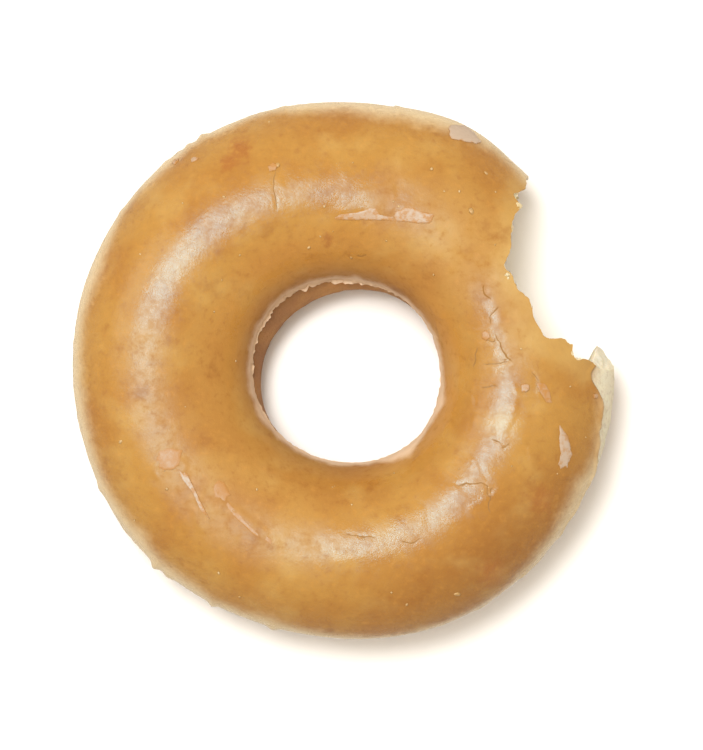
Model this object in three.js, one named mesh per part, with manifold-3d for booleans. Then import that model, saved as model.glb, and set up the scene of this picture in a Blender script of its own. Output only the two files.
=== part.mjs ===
// A glazed ring doughnut with one bite taken out of its outer side.
// Millimetres, +Z up. It lies flat on z = 0, with the middle of its box on the Z axis.
// The ring is one section carried round the hole; the bite is a column of tooth marks cut from it.

import * as THREE from "three";
import { mergeVertices } from "three/addons/utils/BufferGeometryUtils.js";
import Module from "manifold-3d";

// ---- the ring ----

const OUTER_RADIUS = 45.35; // mean radius of the outline
const HOLE_RADIUS = 15.5; // mean radius of the hole
const HEIGHT = 27; // base to the top of the crown
const WAIST_HEIGHT = 11.6; // the pale line between the two fried halves
const BELLY_DEPTH = 12.3; // waist to the lowest point of the lower half before it settles flat
const CROWN_FULLNESS = 2.1; // superellipse power of the upper half; 2 is an ellipse
const BELLY_FULLNESS = 2.3; // the lower half is boxier, because the dough sat on it
const CREST_SHIFT = 0.04; // how far the crown leans to the hole, as a share of half the width
const CREST_SWAY = 0.13; // how much more it does so on +X, and less on -X, because the ring set lopsided
const WAIST_PINCH = 0.35; // depth of the pale line's slight groove
const WAIST_SPREAD = 2.2; // half height of that groove

// Local pushes, each spread round the ring by a bell: place and half width in degrees, reach in millimetres.
const BITE_SQUEEZE = { at: 48, halfWidth: 11, reach: 1.5 }; // the jaw pressed the outline in beside the bite
const HOLE_LIP = { at: 135, halfWidth: 68, reach: 4.4 }; // the lower half bulges into the hole on one side

// Slow waves round the ring, from dough shaped by hand: waves per turn, height, place of a crest in degrees.
const OUTLINE_WAVES = [
  { count: 2, height: 0.2, crestAt: -13 },
  { count: 3, height: 0.22, crestAt: 51 },
  { count: 4, height: 0.26, crestAt: 45 },
  { count: 5, height: 0.16, crestAt: -8 },
  { count: 6, height: 0.15, crestAt: -10 },
];
const HOLE_WAVES = [
  { count: 1, height: 0.4, crestAt: -65 },
  { count: 2, height: 0.45, crestAt: -27 },
  { count: 4, height: 0.1, crestAt: 45 },
];
const CROWN_WAVES = [
  { count: 2, height: 0.35, crestAt: 130 },
  { count: 3, height: 0.2, crestAt: 20 },
];

// ---- the bite ----

const BITE_X = 46.5; // middle of the jaw's arch, from the middle of the ring
const BITE_Y = 19;
const BITE_RADIUS = 19.4; // radius of the jaw's arch
const BITE_RIDGE = 0.7; // the rib left where the upper and lower teeth met
const BITE_RIDGE_HEIGHT = 11.5;
const BITE_RIDGE_SPREAD = 3.5;
const CRUST_OVERHANG = 0.8; // the crumb pulls back under the cut edge of the crust
const CRUST_EDGE_SPREAD = 4; // height over which it does

// Points of dough left between teeth are negative, and the dents of teeth are positive:
// place round the arch and half width in degrees, depth in millimetres.
const UPPER_TOOTH_MARKS = [
  { at: 143, halfWidth: 9, depth: 0.65 },
  { at: 186, halfWidth: 6, depth: 0.9 },
  { at: 206, halfWidth: 6, depth: -1.25 },
  { at: 222, halfWidth: 5, depth: 0.35 },
  { at: 234, halfWidth: 6, depth: -1.8 },
  { at: 250, halfWidth: 6, depth: -1.0 },
];
const LOWER_TOOTH_MARKS = [
  { at: 150, halfWidth: 7, depth: 0.9 },
  { at: 167, halfWidth: 5, depth: -0.8 },
  { at: 190, halfWidth: 8, depth: 0.7 },
  { at: 214, halfWidth: 5, depth: -0.9 },
  { at: 240, halfWidth: 8, depth: 0.4 },
];

// The torn flap of side crust at the lower end of the bite: a steep side, then a long slope.
const FLAP = { from: 250.5, crest: 253, to: 271, reach: 3.4, middleHeight: 11, halfHeight: 6 };

// ---- how finely the faces are cut ----

const RING_STEPS = 108;
const SECTION_STEPS = 36;
const BITE_STEPS = 108;
const BITE_LEVELS = 16;
const BITE_BELOW = -3; // the cutting column reaches past the ring's base and crown
const BITE_ABOVE = 33;

const radians = THREE.MathUtils.degToRad;
const smoothstep = THREE.MathUtils.smoothstep;
const bell = (distance, halfWidth) => Math.exp(-((distance / halfWidth) ** 2));
const signedPower = (value, power) => Math.sign(value) * Math.abs(value) ** power;

function sumOfWaves(waves, turn) {
  return waves.reduce(
    (sum, wave) => sum + wave.height * Math.cos(wave.count * (turn - radians(wave.crestAt))),
    0,
  );
}

function sumOfMarks(marks, degrees) {
  return marks.reduce((sum, mark) => sum + mark.depth * bell(degrees - mark.at, mark.halfWidth), 0);
}

// A push's reach at a place round the ring, fading away from its middle.
function pushAt(push, turn) {
  const away = THREE.MathUtils.euclideanModulo(turn - radians(push.at) + Math.PI, 2 * Math.PI) - Math.PI;
  return push.reach * bell(away, radians(push.halfWidth));
}

// The point of the ring at `turn` round the hole and `around` the section, both in radians.
// around = 0 is the outer waist, a quarter turn the crown, half a turn the inner waist.
function ringPoint(turn, around) {
  const outer = OUTER_RADIUS + sumOfWaves(OUTLINE_WAVES, turn) - pushAt(BITE_SQUEEZE, turn);
  const inner = HOLE_RADIUS + sumOfWaves(HOLE_WAVES, turn);
  const upper = Math.sin(around) >= 0;
  const power = 2 / (upper ? CROWN_FULLNESS : BELLY_FULLNESS);
  const across = signedPower(Math.cos(around), power);
  const rise = signedPower(Math.sin(around), power);

  const crown = HEIGHT - WAIST_HEIGHT + sumOfWaves(CROWN_WAVES, turn);
  const height = Math.max(0, WAIST_HEIGHT + rise * (upper ? crown : BELLY_DEPTH));

  const lean = (CREST_SHIFT + CREST_SWAY * Math.cos(turn)) * (1 - across * across);
  const pinch = WAIST_PINCH * bell(height - WAIST_HEIGHT, WAIST_SPREAD) * across;
  const under = Math.max(0, 1 - height / WAIST_HEIGHT);
  const lip = pushAt(HOLE_LIP, turn) * Math.sin(Math.PI * under) * Math.max(0, -across);
  const radius = (outer + inner) / 2 + ((outer - inner) / 2) * (across - lean) - pinch - lip;
  return new THREE.Vector3(radius * Math.cos(turn), radius * Math.sin(turn), height);
}

// The radius of the bite's wall, from the middle of the jaw's arch, at an angle round it and a height.
function biteRadius(angle, height) {
  const degrees = THREE.MathUtils.euclideanModulo(THREE.MathUtils.radToDeg(angle), 360);
  const upperShare = smoothstep(
    height,
    BITE_RIDGE_HEIGHT - BITE_RIDGE_SPREAD,
    BITE_RIDGE_HEIGHT + BITE_RIDGE_SPREAD,
  );
  const marks =
    upperShare * sumOfMarks(UPPER_TOOTH_MARKS, degrees) +
    (1 - upperShare) * sumOfMarks(LOWER_TOOTH_MARKS, degrees);
  const ridge = BITE_RIDGE * bell(height - BITE_RIDGE_HEIGHT, BITE_RIDGE_SPREAD);
  const overhang = CRUST_OVERHANG * (1 - bell(height - HEIGHT, CRUST_EDGE_SPREAD));
  const flap =
    FLAP.reach *
    smoothstep(degrees, FLAP.from, FLAP.crest) *
    (1 - smoothstep(degrees, FLAP.crest, FLAP.to)) *
    bell(height - FLAP.middleHeight, FLAP.halfHeight);
  return BITE_RADIUS + marks + overhang - ridge - flap;
}

function bitePoint(angle, height) {
  const radius = biteRadius(angle, height);
  return new THREE.Vector3(
    BITE_X + radius * Math.cos(angle),
    BITE_Y + radius * Math.sin(angle),
    height,
  );
}

// A geometry from a list of points and the triangles between them.
function geometryOf(points, triangles) {
  const geometry = new THREE.BufferGeometry().setFromPoints(points);
  geometry.setIndex(triangles.flat());
  return geometry;
}

// A skin that closes on itself both ways, such as a ring.
function ringGeometry(turns, arounds, pointAt) {
  const points = [];
  const triangles = [];
  const index = (i, j) => (i % turns) * arounds + (j % arounds);
  for (let i = 0; i < turns; i++) {
    for (let j = 0; j < arounds; j++) {
      points.push(pointAt((i / turns) * 2 * Math.PI, (j / arounds) * 2 * Math.PI));
      triangles.push([index(i, j), index(i + 1, j), index(i + 1, j + 1)]);
      triangles.push([index(i, j), index(i + 1, j + 1), index(i, j + 1)]);
    }
  }
  return geometryOf(points, triangles);
}

// An upright column with a wavy wall, closed by a flat fan at each end.
function columnGeometry(steps, levels, low, high, pointAt) {
  const points = [];
  const triangles = [];
  const index = (i, j) => j * steps + (i % steps);
  for (let j = 0; j <= levels; j++) {
    const height = low + ((high - low) * j) / levels;
    for (let i = 0; i < steps; i++) {
      points.push(pointAt((i / steps) * 2 * Math.PI, height));
      if (j === levels) continue;
      triangles.push([index(i, j), index(i + 1, j), index(i + 1, j + 1)]);
      triangles.push([index(i, j), index(i + 1, j + 1), index(i, j + 1)]);
    }
  }
  const foot = points.push(new THREE.Vector3(BITE_X, BITE_Y, low)) - 1;
  const head = points.push(new THREE.Vector3(BITE_X, BITE_Y, high)) - 1;
  for (let i = 0; i < steps; i++) {
    triangles.push([foot, index(i + 1, 0), index(i, 0)]);
    triangles.push([head, index(i, levels), index(i + 1, levels)]);
  }
  return geometryOf(points, triangles);
}

const wasm = await Module();
wasm.setup();

function solidOf(geometry) {
  const merged = mergeVertices(geometry);
  return new wasm.Manifold(
    new wasm.Mesh({
      numProp: 3,
      vertProperties: merged.getAttribute("position").array,
      triVerts: new Uint32Array(merged.index.array),
    }),
  );
}

function geometryOfSolid(solid) {
  const mesh = solid.getMesh();
  const geometry = new THREE.BufferGeometry();
  geometry.setAttribute("position", new THREE.BufferAttribute(mesh.vertProperties, mesh.numProp));
  geometry.setIndex(new THREE.BufferAttribute(mesh.triVerts, 1));
  return geometry;
}

// The ring less the bite, moved so that the middle of its box is on the Z axis.
function bittenRing() {
  const ring = solidOf(ringGeometry(RING_STEPS, SECTION_STEPS, ringPoint));
  const bite = solidOf(
    columnGeometry(BITE_STEPS, BITE_LEVELS, BITE_BELOW, BITE_ABOVE, bitePoint),
  );
  const geometry = geometryOfSolid(ring.subtract(bite));
  geometry.computeBoundingBox();
  const middle = geometry.boundingBox.getCenter(new THREE.Vector3());
  geometry.translate(-middle.x, -middle.y, 0);
  geometry.computeVertexNormals();
  return geometry;
}

const glazedDough = new THREE.MeshStandardMaterial({
  color: 0xd09a50,
  roughness: 0.35,
  metalness: 0,
});

const doughnut = new THREE.Mesh(bittenRing(), glazedDough);
doughnut.name = "doughnut";

const part = new THREE.Group();
part.add(doughnut);

export default part;
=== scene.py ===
# A glazed ring doughnut, lying flat, with one bite taken out of its outer side.
# Shapes are worked out in millimetres round the middle of the ring, and go into the meshes in metres.

import math
from itertools import product

import bpy
import numpy as np
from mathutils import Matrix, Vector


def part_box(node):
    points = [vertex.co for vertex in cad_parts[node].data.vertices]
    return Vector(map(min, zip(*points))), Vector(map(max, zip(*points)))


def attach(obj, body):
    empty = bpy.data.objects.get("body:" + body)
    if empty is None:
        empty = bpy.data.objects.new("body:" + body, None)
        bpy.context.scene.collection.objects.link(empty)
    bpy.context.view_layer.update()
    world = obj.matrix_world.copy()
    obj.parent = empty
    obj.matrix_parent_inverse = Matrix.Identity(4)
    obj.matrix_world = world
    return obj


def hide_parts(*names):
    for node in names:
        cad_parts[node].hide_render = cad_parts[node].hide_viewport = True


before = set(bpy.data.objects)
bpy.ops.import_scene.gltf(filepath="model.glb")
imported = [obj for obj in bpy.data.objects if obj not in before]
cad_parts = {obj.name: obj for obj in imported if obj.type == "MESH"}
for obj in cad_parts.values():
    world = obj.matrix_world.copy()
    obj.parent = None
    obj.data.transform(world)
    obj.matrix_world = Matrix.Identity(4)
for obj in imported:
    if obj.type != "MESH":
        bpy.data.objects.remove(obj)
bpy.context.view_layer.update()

# ---------------------------------------------------------------------------------------------------
# The dough. A ring of raised wheat dough, fried on one side and then the other, so that it is brown
# above and below and pale round its waist, where it floated. A bite has been torn from its outer
# side. It is one section carried round the hole, less a column of tooth marks.
# ---------------------------------------------------------------------------------------------------

MM = 0.001
TINY = 1e-12  # keeps a length or a share from being divided by nothing

OUTER_RADIUS = 45.35
HOLE_RADIUS = 15.5
HEIGHT = 27
WAIST_HEIGHT = 11.6
BELLY_DEPTH = 12.3
CROWN_FULLNESS = 2.1
BELLY_FULLNESS = 2.3
CREST_SHIFT = 0.04
CREST_SWAY = 0.13
WAIST_PINCH = 0.35
WAIST_SPREAD = 2.2
FILM = 0.3  # the glaze's thickness, by which the dough lies inside the whole doughnut's skin

# Local pushes round the ring: place and half width in degrees, reach in millimetres.
BITE_SQUEEZE = (48, 11, 1.5)
HOLE_LIP = (135, 68, 4.4)

# Slow waves round the ring: waves per turn, height, place of a crest in degrees.
OUTLINE_WAVES = ((2, 0.2, -13), (3, 0.22, 51), (4, 0.26, 45), (5, 0.16, -8), (6, 0.15, -10))
HOLE_WAVES = ((1, 0.4, -65), (2, 0.45, -27), (4, 0.1, 45))
CROWN_WAVES = ((2, 0.35, 130), (3, 0.2, 20))

BITE_MIDDLE = (46.5, 19)
BITE_RADIUS = 19.4
BITE_RIDGE = 0.7
BITE_RIDGE_HEIGHT = 11.5
BITE_RIDGE_SPREAD = 3.5
BITE_RIDGE_RISE = (148, 168)  # the places round the jaw's arch, in degrees, between which it sets in
CRUST_OVERHANG = 0.8
CRUST_EDGE_SPREAD = 4

# Marks round the jaw's arch: place and half width in degrees, depth in millimetres.
UPPER_TOOTH_MARKS = (
    (143, 9, 0.65),
    (186, 6, 0.9),
    (206, 6, -1.25),
    (222, 5, 0.35),
    (234, 6, -1.8),
    (250, 6, -1.0),
)
LOWER_TOOTH_MARKS = ((150, 7, 0.9), (167, 5, -0.8), (190, 8, 0.7), (214, 5, -0.9), (240, 8, 0.4))
FLAP_RISE = (250.5, 253)  # the flap's steep side and its long slope, in degrees round the arch
FLAP_FALL = (253, 271)
FLAP_REACH = 3.4
FLAP_HEIGHT = 11
FLAP_SPREAD = 6

DOUGH_TURNS = 480
DOUGH_AROUNDS = 110


def bell(distance, half_width):
    """One in the middle, falling off as e to the minus square of the distance over the half width."""
    return np.exp(-((distance / half_width) ** 2))


def climb(value, start, end):
    """0 before start, 1 after end, and 3t² - 2t³ between them."""
    t = np.clip((value - start) / (end - start), 0, 1)
    return t * t * (3 - 2 * t)


def fade(value, start, end):
    """1 before start, 0 after end: one less the climb."""
    return 1 - climb(value, start, end)


def between(value, rise, fall):
    """0 before the rise, 1 from its end to the fall's start, and 0 after the fall."""
    return climb(value, *rise) * fade(value, *fall)


def signed_power(value, power):
    """The value's size raised to a power, with the value's own sign."""
    return np.sign(value) * np.abs(value) ** power


def turn_away(turn, degrees):
    """How far an angle is from a place in degrees, the short way round, in degrees."""
    return (np.degrees(turn) - degrees + 180) % 360 - 180


def waves(table, turn):
    """The sum of height · cos(count · (turn - place of the crest))."""
    return sum(high * np.cos(count * (turn - math.radians(at))) for count, high, at in table)


def marks(table, degrees):
    """The sum of depth · bell(degrees - place)."""
    return sum(depth * bell(degrees - at, wide) for at, wide, depth in table)


def push(shape, turn):
    """A local push round the ring: reach · bell(degrees away from its place)."""
    at, wide, reach = shape
    return reach * bell(turn_away(turn, at), wide)


def pushes(shapes, turn):
    """The sum of several local pushes."""
    return sum(push(shape, turn) for shape in shapes)


def ring_sizes(turn):
    """The outline's radius, the hole's radius and the crown's height above the waist, round the ring."""
    outer = OUTER_RADIUS + waves(OUTLINE_WAVES, turn) - push(BITE_SQUEEZE, turn)
    inner = HOLE_RADIUS + waves(HOLE_WAVES, turn)
    return outer, inner, HEIGHT - WAIST_HEIGHT + waves(CROWN_WAVES, turn)


def ring_skin(turn, around):
    """The doughnut's skin: a superellipse section, its upper half taller than its lower one, which is
    cut off flat at the base, carried round the hole. around is 0 at the outer waist, a quarter turn on
    the crown and half a turn at the inner waist."""
    outer, inner, crown = ring_sizes(turn)
    upper = np.sin(around) >= 0
    power = 2 / np.where(upper, CROWN_FULLNESS, BELLY_FULLNESS)
    across = signed_power(np.cos(around), power)
    rise = signed_power(np.sin(around), power)
    height = np.maximum(0, WAIST_HEIGHT + rise * np.where(upper, crown, BELLY_DEPTH))
    lean = (CREST_SHIFT + CREST_SWAY * np.cos(turn)) * (1 - across * across)
    pinch = WAIST_PINCH * bell(height - WAIST_HEIGHT, WAIST_SPREAD) * across
    under = np.maximum(0, 1 - height / WAIST_HEIGHT)
    lip = push(HOLE_LIP, turn) * np.sin(np.pi * under) * np.maximum(0, -across)
    radius = (outer + inner) / 2 + (outer - inner) / 2 * (across - lean) - pinch - lip
    return np.stack([radius * np.cos(turn), radius * np.sin(turn), height], axis=-1)


def unit(vectors):
    """Vectors divided by their own length."""
    return vectors / np.maximum(np.linalg.norm(vectors, axis=-1, keepdims=True), TINY)


def ring_outward(turn, around, step=0.004):
    """The skin's outward direction: the cross product of its two slopes, from small steps each way."""
    along = ring_skin(turn + step, around) - ring_skin(turn - step, around)
    across = ring_skin(turn, around + step) - ring_skin(turn, around - step)
    return unit(np.cross(along, across))


def polar(points, middle=(0, 0)):
    """How far points are from a middle, seen from above, and their bearing from it."""
    x, y = points[..., 0] - middle[0], points[..., 1] - middle[1]
    return np.hypot(x, y), np.arctan2(y, x)


def depth_below_skin(points):
    """How deep points lie inside the ring: one less the superellipse's own measure, times the distance
    from the section's middle to its skin, and no more than the height above the base. The crown's lean,
    a = s - k(1 - s²), is first undone by s = 2(a + k) / (1 + √(1 + 4k(a + k)))."""
    radius, turn = polar(points)
    outer, inner, crown = ring_sizes(turn)
    half = (outer - inner) / 2
    leaning = (radius - (outer + inner) / 2) / half
    lean = CREST_SHIFT + CREST_SWAY * np.cos(turn)
    across = 2 * (leaning + lean) / (1 + np.sqrt(np.maximum(0, 1 + 4 * lean * (leaning + lean))))
    above = points[..., 2] - WAIST_HEIGHT
    upper = above >= 0
    power = np.where(upper, CROWN_FULLNESS, BELLY_FULLNESS)
    rise = np.abs(above) / np.where(upper, crown, BELLY_DEPTH)
    reach = (np.abs(across) ** power + rise**power) ** (1 / power)
    distance = np.hypot(across * half, above) / np.maximum(reach, TINY)
    return np.minimum((1 - reach) * distance, points[..., 2])


LATTICE_VALUES = 4096
LATTICE_START = 1000  # keeps the numbers of the cubes above nought
LATTICE_PRIMES = (73856093, 19349663, 83492791)  # scatter the cubes' numbers over the values


def lattice(points, size, seed):
    """Smooth noise from -1 to 1: random values on a lattice of cubes, blended by 3t² - 2t³ between."""
    values = np.random.default_rng(seed).uniform(-1, 1, LATTICE_VALUES)
    place = points / size + LATTICE_START
    cell = np.floor(place).astype(np.int64)
    t = place - cell
    t = t * t * (3 - 2 * t)
    total = 0
    for corner in product((0, 1), repeat=3):
        share = np.prod(np.where(corner, t, 1 - t), axis=-1)
        x, y, z = np.moveaxis((cell + corner) * LATTICE_PRIMES, -1, 0)
        total = total + share * values[(x ^ y ^ z) % LATTICE_VALUES]
    return total


def noise(points, *layers):
    """A sum of smooth noises. Each layer gives a height, the size of its lumps and a seed."""
    return sum(height * lattice(points, size, seed) for height, size, seed in layers)


def round_ring(turn, *layers):
    """Noise in layers that only changes round the ring and meets itself after a full turn."""
    circle = np.stack([np.cos(turn), np.sin(turn), 0 * turn], axis=-1)
    return noise(circle * OUTER_RADIUS, *layers)


def bite_radius(degrees, height):
    """The bite's wall from the middle of the jaw's arch: its radius, with upper or lower tooth marks by
    height, the ridge between them, the crumb's retreat under the crust and the torn flap."""
    low, high = BITE_RIDGE_HEIGHT - BITE_RIDGE_SPREAD, BITE_RIDGE_HEIGHT + BITE_RIDGE_SPREAD
    upper = climb(height, low, high)
    teeth = upper * marks(UPPER_TOOTH_MARKS, degrees) + (1 - upper) * marks(LOWER_TOOTH_MARKS, degrees)
    ridge = BITE_RIDGE * bell(height - BITE_RIDGE_HEIGHT, BITE_RIDGE_SPREAD)
    ridge = ridge * climb(degrees, *BITE_RIDGE_RISE)
    overhang = CRUST_OVERHANG * (1 - bell(height - HEIGHT, CRUST_EDGE_SPREAD))
    flap = FLAP_REACH * between(degrees, FLAP_RISE, FLAP_FALL)
    return BITE_RADIUS + teeth + overhang - ridge - flap * bell(height - FLAP_HEIGHT, FLAP_SPREAD)


def bite_point(degrees, height, further=0):
    """The bite's wall at a place round the jaw's arch and a height, set back by a distance."""
    radius = bite_radius(degrees, height) + further
    x = BITE_MIDDLE[0] + radius * np.cos(np.radians(degrees))
    y = BITE_MIDDLE[1] + radius * np.sin(np.radians(degrees))
    return np.stack([x, y, height + 0 * radius], axis=-1)


# The node's low corner, less the ring's own, is where the middle of the ring is in the frame.
SURVEY_TURNS = 721
SURVEY_AROUNDS = 361
survey_turn, survey_around = np.meshgrid(
    np.linspace(-np.pi, np.pi, SURVEY_TURNS),
    np.linspace(-np.pi, np.pi, SURVEY_AROUNDS),
)
ring_low = ring_skin(survey_turn, survey_around).reshape(-1, 3).min(axis=0)
node_low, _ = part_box("doughnut")
RING_MIDDLE = np.array([node_low.x / MM - ring_low[0], node_low.y / MM - ring_low[1], 0])


def ring_faces(turns, arounds):
    """Four-cornered faces over a grid that closes on itself both ways."""
    i, j = np.meshgrid(np.arange(turns), np.arange(arounds), indexing="ij")
    row, next_row = i * arounds, (i + 1) % turns * arounds
    after = (j + 1) % arounds
    return np.stack([row + j, next_row + j, next_row + after, row + after], axis=-1).reshape(-1, 4)


def piece(name, points, faces):
    """A mesh object from points in millimetres about the ring's middle, and faces."""
    mesh = bpy.data.meshes.new(name)
    mesh.from_pydata(((points.reshape(-1, 3) + RING_MIDDLE) * MM).tolist(), [], faces)
    mesh.validate()
    made = bpy.data.objects.new(name, mesh)
    bpy.context.scene.collection.objects.link(made)
    return made


CUT_FROM, CUT_TO = 112, 282  # the stretch of the arch, in degrees, that can meet the dough
CUT_BELOW, CUT_TOP, CUT_ABOVE = -3, 28, 33  # heights of the cutting column's foot, fine part and head
COARSE_STEPS = 14


def column(name, wall, steps, lowest, levels):
    """An upright column whose wall is a function of degrees and height, closed by a flat end each way:
    close steps round the stretch that meets the dough, and close levels from the lowest height up."""
    degrees = np.concatenate([
        np.linspace(CUT_TO - 360, CUT_FROM, COARSE_STEPS, endpoint=False),
        np.linspace(CUT_FROM, CUT_TO, steps)[:-1],
    ])
    heights = np.concatenate([[CUT_BELOW], np.linspace(lowest, CUT_TOP, levels), [CUT_ABOVE]])
    height, angle = np.meshgrid(heights, degrees, indexing="ij")
    count, rows = len(degrees), len(heights)
    j, i = np.meshgrid(np.arange(rows - 1), np.arange(count), indexing="ij")
    after = (i + 1) % count
    row, next_row = j * count, (j + 1) * count
    sides = np.stack([row + i, row + after, next_row + after, next_row + i], axis=-1)
    foot = list(range(count))[::-1]
    head = list(range((rows - 1) * count, rows * count))
    return piece(name, wall(angle, height), sides.reshape(-1, 4).tolist() + [foot, head])


def cut(body, cutter):
    """Takes the cutter's shape out of the body and removes the cutter."""
    modifier = body.modifiers.new("bite", "BOOLEAN")
    modifier.operation = "DIFFERENCE"
    modifier.solver = "MANIFOLD"
    modifier.object = cutter
    bpy.context.view_layer.update()
    done = body.evaluated_get(bpy.context.evaluated_depsgraph_get())
    mesh = bpy.data.meshes.new_from_object(done)
    mesh.name = body.name
    mesh.materials.clear()
    body.modifiers.clear()
    body.data = mesh
    bpy.data.objects.remove(cutter)


def points_of(body):
    """The piece's points in millimetres about the ring's middle."""
    flat = np.zeros(len(body.data.vertices) * 3)
    body.data.vertices.foreach_get("co", flat)
    return flat.reshape(-1, 3) / MM - RING_MIDDLE


def mark(body, name, values):
    """Keeps one number for each point of the mesh, for the material to read."""
    body.data.attributes.new(name, "FLOAT", "POINT").data.foreach_set("value", values.astype(np.float32))


def round_off(body, degrees):
    """Shades the piece smooth, except along edges sharper than an angle."""
    body.data.shade_smooth()
    body.data.set_sharp_from_angle(angle=math.radians(degrees))


# Chips along the torn edge of the crust, finer than the teeth: place and half width in degrees, depth.
CRUST_CHIPS = (
    (146.5, 3, -0.8),
    (153, 1.6, 0.9),
    (158.5, 2.5, -0.5),
    (168, 3, 0.25),
    (178, 2.5, -0.15),
    (185.5, 2.5, 0.3),
    (196, 4, 0.25),
    (216, 4, -0.4),
    (226, 3, 0.2),
    (238.3, 1.2, -0.6),
    (244, 2.5, 0.3),
)
CELL_KINDS = (  # for each size of bubble: how many, smallest and largest radius, depth over radius
    (70, 0.9, 2.1, 0.75),
    (420, 0.4, 0.9, 0.8),
    (1800, 0.16, 0.4, 0.7),
)
CELL_STRETCH = 1.7  # how much longer than wide a bubble can be
CELL_SLANT = 0.6  # how far it can lean, in radians
FINEST_CELL = 0.4  # bubbles up to this radius are added on top of the others, at a share of their depth
FINEST_SHARE = 0.6
CELLS_OPEN = (0.2, 2.2)  # depths below the skin between which the bubbles grow to their full size
CHIPS_BEGIN = (14, 19)  # heights between which the chips set in
TEAR_BEGINS = (6, 12)  # and the ragged edge of the crust
WALL_STEPS = 230
WALL_LEVELS = 125
WALL_LOWEST = -0.5


def crumb_cells(degrees, height):
    """The torn open bubbles of the crumb: the deepest of many ellipsoid caps strewn over the wall, each
    longer one way and leaning, radius · depth · √(1 - u² - v²), with the finest ones added on top."""
    rng = np.random.default_rng(11)
    along = np.radians(degrees) * BITE_RADIUS
    start, end = (math.radians(angle) * BITE_RADIUS for angle in (CUT_FROM, CUT_TO))
    total = np.zeros_like(height)
    for count, smallest, largest, depth in CELL_KINDS:
        deepest = np.zeros_like(height)
        middles = np.stack([rng.uniform(start, end, count), rng.uniform(0, HEIGHT, count)], axis=-1)
        radii = smallest * (largest / smallest) ** rng.uniform(0, 1, count)
        stretch = rng.uniform(1, CELL_STRETCH, count)
        lean = rng.uniform(-CELL_SLANT, CELL_SLANT, count)
        for (x, z), radius, longer, slant in zip(middles, radii, stretch, lean):
            right, up = along - x, height - z
            u = (right * math.cos(slant) + up * math.sin(slant)) / (radius * longer)
            v = (up * math.cos(slant) - right * math.sin(slant)) / radius
            cap = np.sqrt(np.clip(1 - u * u - v * v, 0, 1))
            deepest = np.maximum(deepest, radius * depth * cap)
        larger = largest > FINEST_CELL
        total = np.maximum(total, deepest) if larger else total + FINEST_SHARE * deepest
    return total


def torn_edge(degrees, height):
    """The chips, which die away down the wall, and the fine raggedness of the crust's torn edge."""
    smooth = bite_point(degrees, height)
    chips = marks(CRUST_CHIPS, degrees) * climb(height, *CHIPS_BEGIN)
    ragged = noise(smooth * [1, 1, 0.4], (0.28, 1.5, 81)) + noise(smooth * [1, 1, 0.5], (0.2, 0.65, 82))
    return chips + ragged


def crumb_wall(degrees, height):
    """The bite's wall with its torn crumb: cells on soft lumps, both shrinking away near the skin, and
    the torn edge of the crust, which fades towards the foot."""
    smooth = bite_point(degrees, height)
    inside = climb(depth_below_skin(smooth), *CELLS_OPEN)
    lumps = noise(smooth, (0.5, 3.5, 21), (0.25, 1.3, 22))
    torn = torn_edge(degrees, height) * climb(height, *TEAR_BEGINS)
    ragged = noise(smooth, (0.12, 0.5, 23))
    return bite_point(degrees, height, inside * (crumb_cells(degrees, height) + lumps) + torn + ragged)


def dough_grid():
    """The ring's skin, drawn in by the glaze's thickness above the base, blistered all over and
    wrinkled up and down at the waist."""
    turn, around = np.meshgrid(
        np.arange(DOUGH_TURNS) / DOUGH_TURNS * 2 * np.pi,
        np.arange(DOUGH_AROUNDS) / DOUGH_AROUNDS * 2 * np.pi,
        indexing="ij",
    )
    skin = ring_skin(turn, around)
    height = skin[..., 2]
    above = climb(height, 0.5, 4)
    blisters = noise(skin, (0.08, 2.2, 31), (0.05, 0.9, 32))
    wrinkles = noise(skin * [1, 1, 0.35], (0.1, 1.1, 33)) * bell(height - WAIST_HEIGHT, 4)
    shift = above * (blisters + wrinkles - FILM)
    return skin + ring_outward(turn, around) * shift[..., None]


dough = piece("dough", dough_grid(), ring_faces(DOUGH_TURNS, DOUGH_AROUNDS).tolist())
cut(dough, column("bite", crumb_wall, WALL_STEPS, WALL_LOWEST, WALL_LEVELS))

OUTER_SIDE = (20, 30)  # distances from the middle between which the hole's side gives way to the outer
PALE_HEIGHT = 16.2  # how high the pale waist reaches
PALE_BY_FLAP = (-6, 17, 6.5)  # and how much higher at the flap: place, half width, height
# The painted shade on the flap's crumb sets in and ends at these places round the arch.
FLAP_CRUMB_RISE = (247, 252)  # where the flap's own crumb sets in and ends, in degrees round the arch
FLAP_CRUMB_FALL = (285, 300)

dough_points = points_of(dough)
dough_radius, dough_turn = polar(dough_points)
bite_away, bite_bearing = polar(dough_points, BITE_MIDDLE)
bite_degrees = np.degrees(bite_bearing) % 360
mark(dough, "depth", np.maximum(0, depth_below_skin(dough_points) - FILM))
mark(dough, "outside", climb(dough_radius, *OUTER_SIDE))
mark(dough, "pale_to", PALE_HEIGHT + push(PALE_BY_FLAP, dough_turn))
# The flap's crumb, which gets a painted shade.
mark(dough, "flap", between(bite_degrees, FLAP_CRUMB_RISE, FLAP_CRUMB_FALL))
# How far a point lies into the crumb's cells, for the painted shade in them.
mark(dough, "hollow", bite_away - bite_radius(bite_degrees, dough_points[:, 2]))
round_off(dough, 50)


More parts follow.
